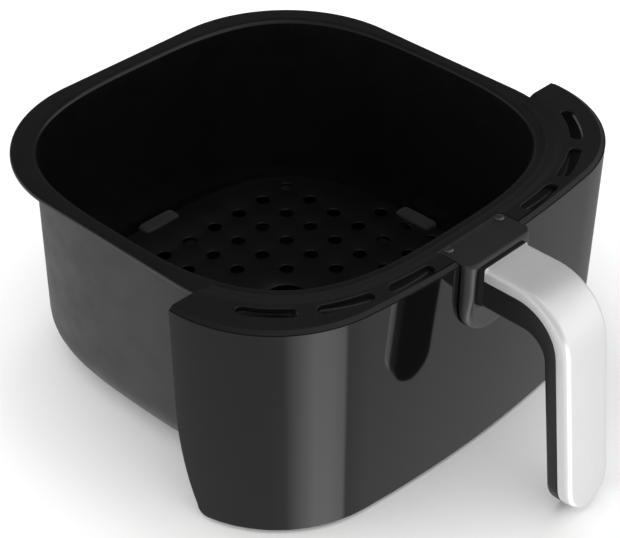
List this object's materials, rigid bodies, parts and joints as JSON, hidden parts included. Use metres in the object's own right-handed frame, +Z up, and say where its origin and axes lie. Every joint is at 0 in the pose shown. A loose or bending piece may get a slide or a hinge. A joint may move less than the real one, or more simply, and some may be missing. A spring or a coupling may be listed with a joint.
{
  "type": "air fryer drawer",
  "caption": "Pull-out air fryer drawer: deep rounded-square non-stick pan, vented top frame, curved front panel, angled handle and lift-out crisper plate.",
  "frame": {"origin": "centre of the pan's base, on the surface it stands on", "axes": "+Z up, +Y away from the handle towards the back of the pan, the handle points along -Y, +X to the right seen from the handle"},
  "size_m": [0.286, 0.3384, 0.1286],
  "materials": {
    "nonstick": "matte black non-stick coating",
    "plate_nonstick": "matte black non-stick coating",
    "frame_plastic": "satin black moulding",
    "panel_gloss": "high gloss near-black",
    "base_plastic": "satin dark grey moulding",
    "grip_plastic": "satin black moulding",
    "silver_cover": "satin silver",
    "steel": "plain sheet",
    "shield_sheet": "mill",
    "screw_steel": "zinc plated",
    "dark_screw": "blackened",
    "insert_brass": "turned",
    "silicone": "soft matte"
  },
  "bodies": {
    "drawer": {"pan": "nonstick", "pan_bracket": "steel", "weld_studs": "steel", "heat_shield": "shield_sheet", "shield_screws": "screw_steel", "vent_frame": "frame_plastic", "front_panel": "panel_gloss", "panel_bosses": "frame_plastic", "panel_screws": "screw_steel", "interlock_tab": "frame_plastic", "handle_base": "base_plastic", "base_screws": "dark_screw", "handle_bolts": "screw_steel", "bolt_washers": "screw_steel", "bolt_sleeves": "screw_steel", "handle_core": "steel", "handle_inner": "grip_plastic", "handle_cover": "silver_cover", "handle_screws": "dark_screw", "handle_inserts": "insert_brass"},
    "crisper": {"crisper_plate": "plate_nonstick", "bumper_front": "silicone", "bumper_back": "silicone", "bumper_left": "silicone", "bumper_right": "silicone"}
  },
  "joints": [
    {"name": "crisper_lift", "type": "slide", "parent": "drawer", "child": "crisper", "axis": [0, 0, 1], "range_m": [0, 0.15]}
  ]
}
